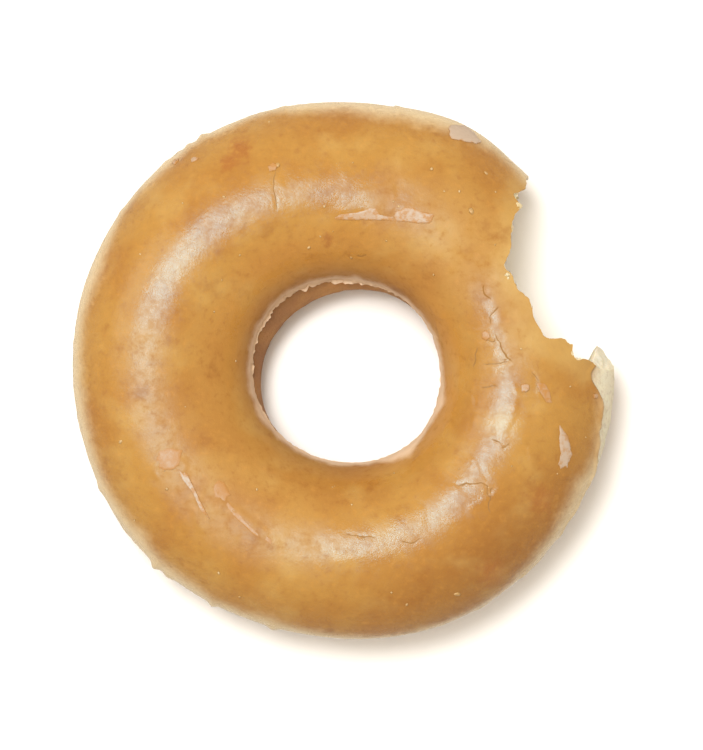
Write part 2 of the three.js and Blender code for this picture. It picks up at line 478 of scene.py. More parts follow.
class Wire:
    """An output of a material's node. Arithmetic on it adds Math nodes."""

    def __init__(self, finish, socket):
        self.finish = finish
        self.socket = socket

    def __add__(self, other):
        return self.finish.math("ADD", self, other)

    def __radd__(self, other):
        return self.finish.math("ADD", other, self)

    def __sub__(self, other):
        return self.finish.math("SUBTRACT", self, other)

    def __rsub__(self, other):
        return self.finish.math("SUBTRACT", other, self)

    def __mul__(self, other):
        return self.finish.math("MULTIPLY", self, other)

    def __rmul__(self, other):
        return self.finish.math("MULTIPLY", other, self)

    def __truediv__(self, other):
        return self.finish.math("DIVIDE", self, other)

    def __rtruediv__(self, other):
        return self.finish.math("DIVIDE", other, self)

    def __abs__(self):
        return self.finish.math("ABSOLUTE", self)


class Finish:
    """A material with one Principled shader. What is the same all over is set on the shader's sockets,
    and what varies is worked out in wires and fed to it."""

    def __init__(self, name, **same_all_over):
        self.material = bpy.data.materials.new(name)
        self.material.use_nodes = True
        self.nodes = self.material.node_tree.nodes
        self.links = self.material.node_tree.links
        self.shader = self.nodes["Principled BSDF"]
        for socket, value in same_all_over.items():
            self.shader.inputs[socket.replace("_", " ")].default_value = value

    def feed(self, socket, value):
        """Links a wire to a socket, or sets the socket to a value."""
        if isinstance(value, Wire):
            self.links.new(value.socket, socket)
        else:
            socket.default_value = value

    def node(self, kind, settings=None, sockets=None, output=0):
        """A node of any kind: its settings first, then its sockets. Gives the wire of one output."""
        made = self.nodes.new(kind)
        for name, value in (settings or {}).items():
            setattr(made, name, value)
        for name, value in (sockets or {}).items():
            self.feed(made.inputs[name], value)
        return Wire(self, made.outputs[output])

    def math(self, operation, first, second=0):
        """One step of arithmetic between two wires or numbers."""
        return self.node("ShaderNodeMath", {"operation": operation}, {0: first, 1: second})

    def place(self):
        """Where the surface is, in metres, in the frame."""
        return self.node("ShaderNodeTexCoord", output="Object")

    def attribute(self, name):
        """A number that was marked on the piece's points."""
        return self.node("ShaderNodeAttribute", {"attribute_name": name}, output="Fac")

    def noise(self, size, detail=2, roughness=0.5):
        """Noise about one half, with lumps of a size in millimetres."""
        scale = 1 / (size * MM)
        sockets = {"Vector": self.place(), "Scale": scale, "Detail": detail, "Roughness": roughness}
        return self.node("ShaderNodeTexNoise", None, sockets)

    def climb(self, value, start, end):
        """0 before start and 1 after end, smooth between."""
        settings = {"interpolation_type": "SMOOTHSTEP"}
        return self.node("ShaderNodeMapRange", settings, {0: value, 1: start, 2: end})

    def blend(self, share, first, second):
        """A colour part of the way from the first to the second."""
        first, second = ((*c, 1) if isinstance(c, tuple) else c for c in (first, second))
        sockets = {0: share, 6: first, 7: second}
        return self.node("ShaderNodeMix", {"data_type": "RGBA"}, sockets, output=2)

    def wash(self, colour, over, value, start, end, most):
        """A colour with another washed over it: most · climb(value, start, end) of the other."""
        return self.blend(self.climb(value, start, end) * most, colour, over)

    def height(self):
        """The height above the base, in millimetres."""
        split = self.node("ShaderNodeSeparateXYZ", None, {0: self.place()}, output="Z")
        return split / MM

    def bump(self, relief, strength=1.0):
        """A normal from a relief in millimetres."""
        return self.node("ShaderNodeBump", None, {"Height": relief, "Distance": MM, "Strength": strength})

    def paint(self, colour, roughness=None, normal=None):
        """Feeds the shader what varies over the surface, and gives the material."""
        self.feed(self.shader.inputs["Base Color"], colour)
        if roughness is not None:
            self.feed(self.shader.inputs["Roughness"], roughness)
        if normal is not None:
            self.feed(self.shader.inputs["Normal"], normal)
        return self.material


BROWN_CRUST = (0.235, 0.115, 0.05)
GOLDEN_CRUST = (0.42, 0.215, 0.07)
PALE_WAIST = (0.55, 0.50, 0.37)
CREAM_CRUMB = (0.72, 0.635, 0.45)
# Painted shade: the crumb darker deep in its cells.
CELL_PAINTED_SHADE = (0.58, 0.45, 0.25)
# Painted shade that tones down the crumb on the flap, where the light falls full on it.
FLAP_CRUMB_PAINTED_SHADE = (0.46, 0.43, 0.35)


def fried_dough():
    """Crust brown below and golden above, pale round the waist, over cream crumb in the bite, with
    painted shade in its cells and on the flap.
    """
    finish = Finish(
        "fried dough",
        Subsurface_Weight=0.25,
        Subsurface_Radius=(1.0, 0.55, 0.25),
        Subsurface_Scale=1.2 * MM,
        IOR=1.4,
        Specular_IOR_Level=0.35,
    )
    height = finish.height() + (finish.noise(9, 3) - 0.5) * 7
    blotches = finish.noise(5, 4, 0.6)
    fine = finish.noise(0.8, 3, 0.6)
    browned = finish.noise(14, 3, 0.5) * 0.6 + blotches * 0.4
    crust = finish.blend(finish.climb(browned, 0.34, 0.68), BROWN_CRUST, GOLDEN_CRUST)
    top = 1 - finish.climb(height - finish.attribute("pale_to"), -2, 2)
    waist = finish.climb(height, 5, 8.5) * top * finish.attribute("outside")
    crust = finish.blend(waist, crust, PALE_WAIST)
    crust = finish.wash(crust, BROWN_CRUST, fine, 0.45, 0.75, 0.35)
    depth = finish.attribute("depth")
    hollow = finish.attribute("hollow")
    # Painted shade: the crumb darkens deeper into its cells.
    crumb = finish.blend(finish.climb(hollow, 0.2, 1.9), CREAM_CRUMB, CELL_PAINTED_SHADE)
    crumb = finish.wash(crumb, PALE_WAIST, finish.noise(4, 2), 0.45, 0.7, 0.3)
    # Painted shade that tones down the crumb on the flap, where the light falls full on it.
    crumb = finish.blend(finish.attribute("flap") * 0.75, crumb, FLAP_CRUMB_PAINTED_SHADE)
    inner_crust = finish.blend(waist, GOLDEN_CRUST, PALE_WAIST)
    under_crust = finish.blend(finish.climb(depth, 0.45, 1.3), inner_crust, crumb)
    colour = finish.blend(finish.climb(depth, 0.12, 0.35), crust, under_crust)
    relief = finish.noise(0.6, 3, 0.6) * 0.12 + finish.noise(0.25, 2) * 0.04
    return finish.paint(colour, roughness=0.62 + fine * 0.25, normal=finish.bump(relief))


dough.data.materials.append(fried_dough())
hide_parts("doughnut")
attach(dough, "root")

# ---------------------------------------------------------------------------------------------------
# The glaze. A sugar syrup that ran over the hot doughnut and set to a thin, see-through skin. It is
# thicker and milky where it gathered, cracked where the dough was squeezed, ragged along its lower
# edge, and rolled under at the hole. One closed film, bitten through with the dough.
# ---------------------------------------------------------------------------------------------------

GLAZE_TURNS = 600
GLAZE_ROWS = 136  # from the outer edge over the crown to the edge in the hole
GLAZE_BACK_ROWS = 12  # the same way back, inside the dough
GLAZE_ROOT = 0.12  # how far the film's inner face lies in the dough
EDGE_ROUNDING = 0.55
OUTER_EDGE_HEIGHT = 10.6
INNER_EDGE_HEIGHT = 11.2
SKIRT_HEIGHT = 17.0  # how high the pale waist shows through the film
HOLE_SKIRT_HEIGHT = 15.6

# Local rises round the ring: place and half width in degrees, height in millimetres. The film's edge
# rises beside the flap. The pale waist shows higher at the top, on the left, on the lower left and by
# the flap, and hardly at all on the lower right. In the hole it does so on the right and lower right.
EDGE_RISES = ((-12, 16, 8), (-35, 18, 3), (-0.5, 6, 6.2))
SKIRT_RISES = (
    (82, 21, 2.5),
    (218, 20, 1.7),
    (250, 18, 1.5),
    (0, 14, 2.5),
    (-30, 18, 1.6),
    (172, 32, 2.8),
    (-62, 18, -2.2),
)
HOLE_SKIRT_RISES = ((-55, 14, 3.2), (-20, 10, 2.4))
EVEN_EDGE = (-4, 13, 0.85)  # where the film's edge is less ragged: place, half width, share
DRIP = 1.8  # how far a drip runs down, where its noise is over a level
DRIP_STARTS = 0.25


def edge_heights(turn):
    """How low the film reaches on the outer side and in the hole: ragged, with a few drips, and drawn
    up where the pale side shows next to the bite."""
    ragged = round_ring(turn, (1.3, 9, 41), (1.0, 2.6, 42), (0.7, 1.1, 43))
    drips = DRIP * np.maximum(0, round_ring(turn, (1, 6, 44)) - DRIP_STARTS)
    uneven = (ragged - drips) * (1 - push(EVEN_EDGE, turn))
    outer = OUTER_EDGE_HEIGHT + uneven + pushes(EDGE_RISES, turn)
    inner = INNER_EDGE_HEIGHT + round_ring(turn, (0.5, 5, 45), (0.3, 1.6, 46))
    return outer, inner


def skirt_heights(turn):
    """How high the pale waist shows through the film on the outer side and in the hole: an even height
    with local rises and a ragged top."""
    ragged = round_ring(turn, (0.9, 7, 47), (0.5, 2.2, 48))
    ragged_in_hole = round_ring(turn, (0.8, 5, 49), (0.15, 1.5, 50))
    outer = SKIRT_HEIGHT + pushes(SKIRT_RISES, turn) + ragged
    return outer, HOLE_SKIRT_HEIGHT + pushes(HOLE_SKIRT_RISES, turn) + ragged_in_hole


def around_at(height, crown):
    """The place on the outer half of the section that is at a height: ring_skin's rise, undone."""
    above = height - WAIST_HEIGHT
    upper = above >= 0
    rise = np.abs(above) / np.where(upper, crown, BELLY_DEPTH)
    fullness = np.where(upper, CROWN_FULLNESS, BELLY_FULLNESS)
    return np.sign(above) * np.arcsin(np.clip(rise, 0, 1) ** (fullness / 2))


# Listed cracks: place round the ring in degrees, distance from its middle, way it runs in degrees,
# length, and how far it bows.
CRACKS = (
    (13, 25.2, -58, 5.4, 0.5),
    (17, 25.0, 75, 3.0, -0.3),
    (2, 22.6, 12, 4.6, 0.4),
    (-1, 30.4, -60, 1.8, 0.1),
    (-25, 26.6, -35, 2.0, 0.1),
    (-27, 28.8, 40, 1.5, 0.1),
    (-39, 29.7, -85, 2.3, 0.2),
    (-72, 29.5, 10, 3.2, 0.5),
    (109.3, 34.2, -89, 6.6, 0.3),
    (-80, 28.2, 170, 5.0, 0.3),
    (-46.2, 26.3, -4, 5.8, -0.4),
    (-39, 30.6, -92, 4.2, 0.2),
    (11.4, 23.4, -5, 2.5, 0.2),
    (9, 21.8, -95, 3.2, 0.3),
    (-8, 22.4, 8, 2.6, 0.2),
    (31, 26.6, -70, 2.6, 0.3),
    (84, 18.6, 10, 1.6, 0.2),
)
CRACK_DEPTH = 0.07
CRACK_HALF_WIDTH = 0.16
CRACK_RISE = (-0.05, 0.12)  # how a crack sets in and dies away, as shares of its length
CRACK_FALL = (0.85, 1.05)
CRACK_REACH = (0.5, 0.8)  # distances to its side over which it stops counting


def direction(degrees):
    """A step of one on a bearing in degrees, as x and y: its cosine and sine."""
    return np.array([math.cos(math.radians(degrees)), math.sin(math.radians(degrees))])


def line_place(points, at, radius, heading, length, bow):
    """Where points lie by a line: the share of its length they are along it, and how far to its side."""
    way = direction(heading)
    offset = points[..., :2] - radius * direction(at)
    along = (offset @ way) / length
    off = offset @ np.array([-way[1], way[0]]) + bow * np.sin(np.pi * np.clip(along, 0, 1))
    return along, off


def crack_lines(points):
    """For each point the signed distance to its nearest crack, and how much that crack counts there:
    1 beside it, fading to 0 by 0.8 mm and past its two ends."""
    side = np.zeros(points.shape[:-1])
    near = np.zeros(points.shape[:-1])
    wander = noise(points, (0.35, 1.4, 51), (0.15, 0.6, 52))
    for crack in CRACKS:
        along, off = line_place(points, *crack)
        off = off + wander
        weight = between(along, CRACK_RISE, CRACK_FALL) * fade(np.abs(off), *CRACK_REACH)
        nearer = weight > near
        side = np.where(nearer, off, side)
        near = np.where(nearer, weight, near)
    return side, near


PLATE_COUNT = 190
PLATE_TILT = 0.03  # slope of a plate, in millimetres for each millimetre
PLATES_OVER = (0.2, 0.95)  # the stretch of the crown they cover, as shares of half a turn
PLATE_WANDER = 0.9  # how far their borders stray from straight
PLATE_EASE = 0.5


def plates(skin):
    """The crazed skin: each point belongs to its nearest seed, whose plate is tilted a little its own
    way, eased to nothing at the plate's border."""
    rng = np.random.default_rng(61)
    seed_turn = rng.uniform(0, 2 * np.pi, PLATE_COUNT)
    seed_around = rng.uniform(*PLATES_OVER, PLATE_COUNT) * np.pi
    seeds = ring_skin(seed_turn, seed_around)
    tilt = rng.uniform(-1, 1, (PLATE_COUNT, 3)) * PLATE_TILT
    wander = np.stack([noise(skin, (PLATE_WANDER, 2.5, 62 + k)) for k in range(3)], axis=-1)
    flat = (skin + wander).reshape(-1, 3)
    first = np.full(len(flat), np.inf)
    second = np.full(len(flat), np.inf)
    owner = np.zeros(len(flat), int)
    for k, seed in enumerate(seeds):
        distance = np.linalg.norm(flat - seed, axis=-1)
        closer = distance < first
        second = np.where(closer, first, np.minimum(second, distance))
        owner = np.where(closer, k, owner)
        first = np.where(closer, distance, first)
    border = (second - first) / 2
    height = np.sum((skin.reshape(-1, 3) - seeds[owner]) * tilt[owner], axis=-1)
    return (height * climb(border, 0, PLATE_EASE)).reshape(skin.shape[:-1])


CRAZED = ((-10, 45, 1), (85, 22, 0.6))  # place, half width, share
CRAZED_ALL_ROUND = 0.1


def craze_share(turn):
    """How crazed the skin is round the ring: most on the right by the bite, then at the top."""
    return CRAZED_ALL_ROUND + np.minimum(1, pushes(CRAZED, turn))


# Puckers of the film: place round the ring in degrees, distance from its middle, way it runs in degrees,
# length, bow, half width and height.
PUCKERS = (
    (94, 26.2, 1, 16.5, 0.5, 0.8, 0.1),
    (206, 33.6, -95, 3.6, 0.9, 0.8, 0.18),
    (208, 31.4, -60, 2.8, -0.7, 0.6, 0.14),
    (222, 33.0, -68, 5.2, 0.3, 0.7, 0.18),
    (223, 28.4, -73, 4.2, 0.5, 0.8, 0.16),
    (229, 30.2, -36, 9.5, -0.8, 0.9, 0.17),
    (265, 31.5, 14, 7.0, 0.4, 0.8, 0.05),
)
PUCKER_RISE = (-0.08, 0.2)  # how a pucker sets in and dies away, as shares of its length
PUCKER_FALL = (0.75, 1.08)

# Knobs of set sugar on the outer side: place round the ring and half width in degrees, height.
KNOBS = (
    (226, 1.1, 0.85),
    (229.5, 1.4, 0.45),
    (240.6, 0.9, 0.55),
    (254.4, 1.2, 0.55),
    (206, 1.4, 0.35),
    (121.5, 1.1, 0.6),
    (125, 0.9, 0.4),
    (131, 1.4, 0.25),
    (103, 1.2, 0.2),
    (145, 1.1, 0.2),
)
KNOB_LEVEL = 13
KNOB_SPREAD = 3.5
KNOBS_FROM_HOLE = (20, 30)  # distances along the film that keep them out of the hole

# Rolls of the film along its edges: height, distance from the edge, half width.
BEAD = (0.62, 0.6, 0.42)
FOLD = (0.3, 2.0, 0.33)
LIP = (0.2, 0.8, 0.6)
THICKER_IN_HOLE = ((130, 75, 0.5), (92, 22, 0.5))  # the upper left: place, half width, share
LEAST_IN_HOLE = 0.5


def roll(shape, distance):
    """A roll of the film: height · bell(how far the distance is from the roll's own)."""
    high, at, wide = shape
    return high * bell(distance - at, wide)


def pucker_relief(points):
    """Low ridges: height · bell(distance from the line), dying away at both ends of each line."""
    total = np.zeros(points.shape[:-1])
    wander = noise(points, (0.45, 2.6, 53), (0.2, 1.1, 54))
    for at, radius, heading, length, bow, wide, high in PUCKERS:
        along, off = line_place(points, at, radius, heading, length, bow)
        total = total + high * between(along, PUCKER_RISE, PUCKER_FALL) * bell(off + wander, wide)
    return total


def glaze_relief(skin, turn, from_outer, from_inner):
    """The film's height over its even thickness: slow and fine waves, crazed plates, puckers, a rolled
    bead and a fold in the hole, a thick lip with knobs outside, and cracks."""
    slow = noise(skin, (0.07, 11, 71), (0.03, 4.5, 72))
    rough = climb(noise(skin, (1, 7, 80)), -0.2, 0.6)
    fine = noise(skin, (0.008 + 0.014 * rough, 2.3, 73), (0.003 + 0.006 * rough, 1.0, 79))
    tilted = craze_share(turn) * plates(skin)
    thick = LEAST_IN_HOLE + pushes(THICKER_IN_HOLE, turn)
    bead = thick * roll(BEAD, from_inner) * (1 + round_ring(turn, (0.35, 1.7, 75)))
    fold = thick * roll(FOLD, from_inner - round_ring(turn, (0.5, 6, 76)))
    fold = fold * climb(round_ring(turn, (1, 4, 77)), -0.35, 0.3)
    lip = roll(LIP, from_outer) * (1 + round_ring(turn, (0.9, 2, 78)))
    knobs = pushes(KNOBS, turn) * bell(skin[..., 2] - KNOB_LEVEL, KNOB_SPREAD)
    knobs = knobs * climb(from_inner, *KNOBS_FROM_HOLE)
    side, near = crack_lines(skin)
    grooves = CRACK_DEPTH * near * bell(side, CRACK_HALF_WIDTH)
    return slow + fine + tilted + pucker_relief(skin) + bead + fold + lip + knobs - grooves


def glaze_grid():
    """The film's outer face from edge to edge, its thickness rounded off by √(1 - (1 - t)²) at each
    edge, then its inner face back again, as one closed section."""
    turns = np.arange(GLAZE_TURNS) / GLAZE_TURNS * 2 * np.pi
    outer_height, inner_height = edge_heights(turns)
    _, _, crown = ring_sizes(turns)
    start = around_at(outer_height, crown)
    end = np.pi - around_at(inner_height, crown)
    v = np.linspace(0, 1, GLAZE_ROWS)
    turn = np.repeat(turns[:, None], GLAZE_ROWS, axis=1)
    around = start[:, None] + (end - start)[:, None] * v
    skin = ring_skin(turn, around)
    steps = np.linalg.norm(np.diff(skin, axis=1), axis=-1)
    from_outer = np.concatenate([np.zeros((GLAZE_TURNS, 1)), np.cumsum(steps, axis=1)], axis=1)
    from_inner = from_outer[:, -1:] - from_outer
    edge = np.clip(np.minimum(from_outer, from_inner) / EDGE_ROUNDING, 0, 1)
    round_edge = np.sqrt(1 - (1 - edge) ** 2)
    relief = glaze_relief(skin, turn, from_outer, from_inner)
    outward = ring_outward(turn, around)
    face = skin + outward * ((FILM + relief) * round_edge - FILM)[..., None]
    back = np.linspace(1, 0, GLAZE_BACK_ROWS + 2)[1:-1]
    back_turn = np.repeat(turns[:, None], GLAZE_BACK_ROWS, axis=1)
    back_around = start[:, None] + (end - start)[:, None] * back
    inward = -ring_outward(back_turn, back_around)
    inner_face = ring_skin(back_turn, back_around) + inward * (FILM + GLAZE_ROOT)
    return np.concatenate([face, inner_face], axis=1)


def ragged_bite(degrees, height):
    """The bite through the film: the crust's torn edge, with splinters of its own."""
    smooth = bite_point(degrees, height)
    splinters = noise(smooth, (0.1, 0.4, 83)) - 0.05
    return bite_point(degrees, height, torn_edge(degrees, height) + splinters)


# Where the crust under the film is ruddy: place round the ring in degrees, distance from its middle and
# half width.
RUDDY_SPOTS = (
    (115.5, 39.8, 2.2),
    (120, 38.5, 1.3),
    (-54.3, 41.0, 2.5),
    (-34, 38.5, 2.5),
    (98, 21.5, 1.2),
)

# Stretches where the film set less glossy: place round the ring and half width in degrees, share.
DULL_STRETCHES = (
    (43, 14, 1.2),
    (64, 9, 0.4),
    (77, 4, 0.6),
    (190, 15, 0.35),
    (226, 22, 0.75),
    (254, 11, 0.25),
    (171, 8, 0.2),
)

# Other looks in the same way: dull beside the bite, painted light as a lighter gold on the slope into the
# hole and on its lip, where the hole's shade falls, and painted shade, browner, on the lower right, away
# from the light.
DULL_BY_BITE = (19, 16, 1)
PAINTED_LIGHT_SLOPE = (130, 65, 1)
PAINTED_LIGHT_LIP = (-5, 60, 1.3)
PAINTED_SHADE_LOWER_RIGHT = (-52, 40, 1)
HOLE_SKIRT_SHARPNESS = 1.7  # how much more suddenly the pale waist begins in the hole

# Distances from the middle of the ring between which one look gives way to the next.
DULL_HOLE_ENDS = (16.5, 19.5)
DULL_BY_BITE_BEGINS = (25.5, 27.5)
DULL_STRETCHES_END = (34, 38)
PAINTED_LIGHT_SLOPE_ENDS = (18.5, 27)
PAINTED_LIGHT_LIP_ENDS = (17, 21)
HOLE_SIDE_ENDS = (20, 25)
PAINTED_SHADE_BEGINS = (30, 38)

FILM_CUT_STEPS = 420
FILM_CUT_LEVELS = 60
FILM_CUT_LOWEST = 4


def in_spots(points, spots):
    """How far in the spots points are: the sum of bell(distance from a spot's middle)."""
    return sum(bell(polar(points, radius * direction(at))[0], wide) for at, radius, wide in spots)


glaze = piece("glaze", glaze_grid(), ring_faces(GLAZE_TURNS, GLAZE_ROWS + GLAZE_BACK_ROWS).tolist())
cut(glaze, column("glaze_bite", ragged_bite, FILM_CUT_STEPS, FILM_CUT_LOWEST, FILM_CUT_LEVELS))

glaze_points = points_of(glaze)
glaze_radius, glaze_turn = polar(glaze_points)
glaze_outside = glaze_radius > (OUTER_RADIUS + HOLE_RADIUS) / 2
glaze_side, glaze_near = crack_lines(glaze_points)
mark(glaze, "crack_side", glaze_side)
mark(glaze, "crack_near", glaze_near)
mark(glaze, "craze", craze_share(glaze_turn))
mark(glaze, "from_bite", polar(glaze_points, BITE_MIDDLE)[0] - BITE_RADIUS)
above_skirt = glaze_points[:, 2] - np.where(glaze_outside, *skirt_heights(glaze_turn))
mark(glaze, "above_skirt", above_skirt * np.where(glaze_outside, 1, HOLE_SKIRT_SHARPNESS))
dull_crown = pushes(DULL_STRETCHES, glaze_turn) * fade(glaze_radius, *DULL_STRETCHES_END)
dull_side = push(DULL_BY_BITE, glaze_turn) * climb(glaze_radius, *DULL_BY_BITE_BEGINS)
dull_hole = fade(glaze_radius, *DULL_HOLE_ENDS)
mark(glaze, "dull", np.maximum(dull_hole, np.maximum(dull_crown, dull_side)))
# Painted light: a lighter gold on the upper left slope into the hole and on the hole's lip, where the
# hole's shade falls.
painted_light_slope = push(PAINTED_LIGHT_SLOPE, glaze_turn) * fade(glaze_radius, *PAINTED_LIGHT_SLOPE_ENDS)
painted_light_lip = push(PAINTED_LIGHT_LIP, glaze_turn) * fade(glaze_radius, *PAINTED_LIGHT_LIP_ENDS)
mark(glaze, "painted_light", painted_light_slope + painted_light_lip)
mark(glaze, "in_hole", fade(glaze_radius, *HOLE_SIDE_ENDS))
mark(glaze, "ruddy", in_spots(glaze_points, RUDDY_SPOTS))
# Painted shade: browner on the lower right's outer slope, the side away from the light.
mark(glaze, "painted_shade", push(PAINTED_SHADE_LOWER_RIGHT, glaze_turn) * climb(glaze_radius, *PAINTED_SHADE_BEGINS))
round_off(glaze, 50)

GOLD = (0.325, 0.163, 0.034)
DEEP_GOLD = (0.290, 0.129, 0.024)
TOASTED = (0.215, 0.078, 0.013)
RUDDY = (0.27, 0.10, 0.02)
OLIVE_BEIGE = (0.42, 0.27, 0.085)
PALE_SKIRT = (0.55, 0.435, 0.26)
# The pale waist in the hole, lighter and pinker than outside: its own pale colour with painted light
# against the hole's shade.
PALE_RIM_WITH_PAINTED_LIGHT = (0.72, 0.54, 0.37)
BRIGHT_GOLD = (0.44, 0.205, 0.042)
CRACK_LINE = (0.13, 0.062, 0.014)
GLINT = (0.28, 0.80, 1.0)  # the film's reflections, whose red is lost in the gold below


def sugar_glaze():
    """See-through glaze over crust: gold with toasted blotches and ruddy spots, with painted shade
    browner on the lower right, paler over the waist and beside the bite, with painted light as a lighter
    gold on the slope into the hole and its lip and as a lighter pale rim in the hole, with dark hair
    cracks, glossy but for the dull stretches."""
    finish = Finish("sugar glaze", IOR=1.5, Specular_IOR_Level=0.25, Specular_Tint=(*GLINT, 1))
    blotches = finish.noise(5, 4, 0.6)
    fine = finish.noise(1.1, 3, 0.6)
    colour = finish.blend(finish.climb(finish.noise(13, 3, 0.55), 0.36, 0.64), GOLD, DEEP_GOLD)
    # Painted light on the slope into the hole and on its lip.
    colour = finish.blend(finish.attribute("painted_light") * 0.6, colour, BRIGHT_GOLD)
    # Painted shade on the lower right, broken up by the blotches.
    painted_shade = finish.attribute("painted_shade") + (blotches - 0.5) * 0.5
    colour = finish.wash(colour, TOASTED, painted_shade, 0.2, 1.3, 0.75)
    toasted = finish.climb(blotches, 0.54, 0.74) * (0.6 - finish.attribute("craze") * 0.5)
    colour = finish.blend(toasted, colour, TOASTED)
    ruddy = finish.attribute("ruddy") + (fine - 0.5) * 1.5
    colour = finish.wash(colour, RUDDY, ruddy, 0.1, 1.1, 0.9)
    colour = finish.wash(colour, OLIVE_BEIGE, finish.noise(8, 3), 0.5, 0.8, 0.4)
    colour = finish.wash(colour, TOASTED, fine, 0.5, 0.8, 0.35)
    colour = finish.blend((1 - finish.climb(fine, 0.2, 0.5)) * 0.3, colour, BRIGHT_GOLD)
    by_bite = 1 - finish.climb(finish.attribute("from_bite") + (blotches - 0.5) * 8, 0.5, 4.5)
    colour = finish.blend(by_bite * 0.38, colour, OLIVE_BEIGE)
    skirt = 1 - finish.climb(finish.attribute("above_skirt") + (fine - 0.5) * 2, -2.2, 3.0)
    # In the hole the pale waist is lighter, as painted light against the hole's shade.
    pale = finish.blend(finish.attribute("in_hole"), PALE_SKIRT, PALE_RIM_WITH_PAINTED_LIGHT)
    colour = finish.blend(skirt * 0.8, colour, pale)
    side = finish.attribute("crack_side")
    line = (1 - finish.climb(abs(side), 0.04, 0.15)) * finish.attribute("crack_near")
    colour = finish.blend(line * 0.5, colour, CRACK_LINE)
    relief = finish.noise(0.55, 4, 0.65) * 0.078
    dull = finish.climb(finish.noise(2.2, 5, 0.65), 0.42, 0.72) * 0.2
    roughness = 0.215 + dull + finish.attribute("dull") * 0.4 + line * 0.4
    return finish.paint(colour, roughness=roughness, normal=finish.bump(relief, 0.5))


glaze.data.materials.append(sugar_glaze())
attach(glaze, "root")

# ---------------------------------------------------------------------------------------------------
# Flakes of glaze. Plates, chips, streaks and blisters of the set sugar, which cracked loose or dried
# milky and lie on the film: above and below the bite, along the top of the crown and on the lower left.
# Their pale cream is partly painted highlight: on the plate above the bite, the streaks along the top of
# the crown and the blisters and streaks on the lower left it stands in for the glaze's reflections.
# ---------------------------------------------------------------------------------------------------

# For each flake how clouded it is, on some also a painted highlight, its thickness, and its outline as
# seen from above, in millimetres from the middle of the ring, anticlockwise.
FLAKES = (
    # Partly painted highlight: the pale plate above the bite stands in for a reflection on the glaze.
    (1.45, 0.22, ((16.9, 40.0), (17.4, 37.8), (19.6, 37.4), (21.6, 37.0), (22.4, 37.4), (21.2, 39.2),
        (19.9, 40.3))),
    (1.0, 0.2, ((35.0, -9.4), (34.9, -11.6), (35.2, -13.8), (34.8, -15.6), (35.1, -16.4), (36.3, -15.9),
        (37.1, -13.8), (36.5, -11.5), (35.8, -10.2))),
    (0.5, 0.15, ((28.6, -2.6), (28.8, -3.7), (29.5, -3.8), (30.0, -3.4), (30.0, -2.6), (29.2, -2.4))),
    (0.4, 0.13, ((31.2, -2.3), (31.6, -3.6), (32.9, -5.6), (33.7, -5.5), (33.3, -3.6), (32.4, -2.3))),
    (0.35, 0.14, ((22.4, 5.9), (22.3, 4.9), (23.0, 4.6), (23.6, 5.1), (23.4, 5.9), (22.9, 6.2))),
    (0.5, 0.2, ((40.7, -4.2), (40.8, -4.8), (41.4, -4.9), (41.5, -4.3), (41.1, -4.0))),
    (0.6, 0.2, ((-25.3, 34.3), (-25.1, 33.8), (-24.3, 34.0), (-24.0, 34.5), (-24.8, 34.7))),
    (0.6, 0.2, ((-28.5, 33.9), (-28.1, 33.5), (-27.3, 34.2), (-27.4, 34.6), (-28.0, 34.5))),
    (0.35, 0.2, ((-12.6, 32.9), (-12.3, 32.1), (-11.3, 32.3), (-10.9, 33.1), (-11.7, 33.6))),
    # Partly painted highlight: the two pale streaks along the top of the crown.
    (0.6, 0.15, ((-1.5, 25.0), (-1.2, 24.3), (5.2, 24.2), (8.0, 24.1), (8.1, 24.7), (5.6, 25.1),
        (5.0, 26.2), (4.0, 26.2), (2.0, 25.5))),
    (0.6, 0.18, ((7.9, 25.4), (8.2, 24.5), (8.6, 24.1), (11.2, 23.8), (13.9, 23.6), (14.6, 24.5),
        (14.4, 25.2), (12.6, 25.5), (11.2, 26.3), (9.4, 26.3))),
    # Partly painted highlight: pale blisters and streaks on the lower left, where the glaze's puckers
    # catch the light.
    (0.12, 0.12, ((-30.8, -15.3), (-30.4, -16.3), (-29.4, -16.5), (-28.0, -16.4), (-26.7, -15.2),
        (-26.5, -13.3), (-28.8, -12.9), (-30.3, -13.4))),
    (0.6, 0.16, ((-27.1, -16.4), (-26.7, -17.7), (-24.8, -20.1), (-23.4, -23.3), (-22.0, -24.5),
        (-24.0, -20.5), (-25.6, -17.3))),
    (0.12, 0.11, ((-21.5, -19.4), (-21.2, -20.9), (-19.6, -21.6), (-18.8, -20.5), (-19.6, -18.5),
        (-20.8, -18.1))),
    (0.2, 0.12, ((-19.4, -22.5), (-17.5, -24.6), (-14.8, -27.0), (-12.1, -28.5), (-11.8, -27.9),
        (-14.4, -25.9), (-16.8, -24.0), (-19.1, -21.8))),
)
FLAKE_STEPS = 72
FLAKE_RINGS = (0.12, 0.4, 0.7, 0.9, 1.0, 1.0, 0.9, 0.5, 0.12)
FLAKE_LIFTS = (1.0, 1.0, 1.0, 0.92, 0.55, -0.2, -0.9, -0.9, -0.9)
FLAKE_FADE = (1.0, 1.0, 1.0, 0.85, 0.45, 0.4, 0.4, 0.4, 0.4)  # less clouded towards the thin edge
FLAKE_SEED = 200
SECTION_STATIONS = 300
SECTION_END = 0.02  # how near the waist the stations go, in radians


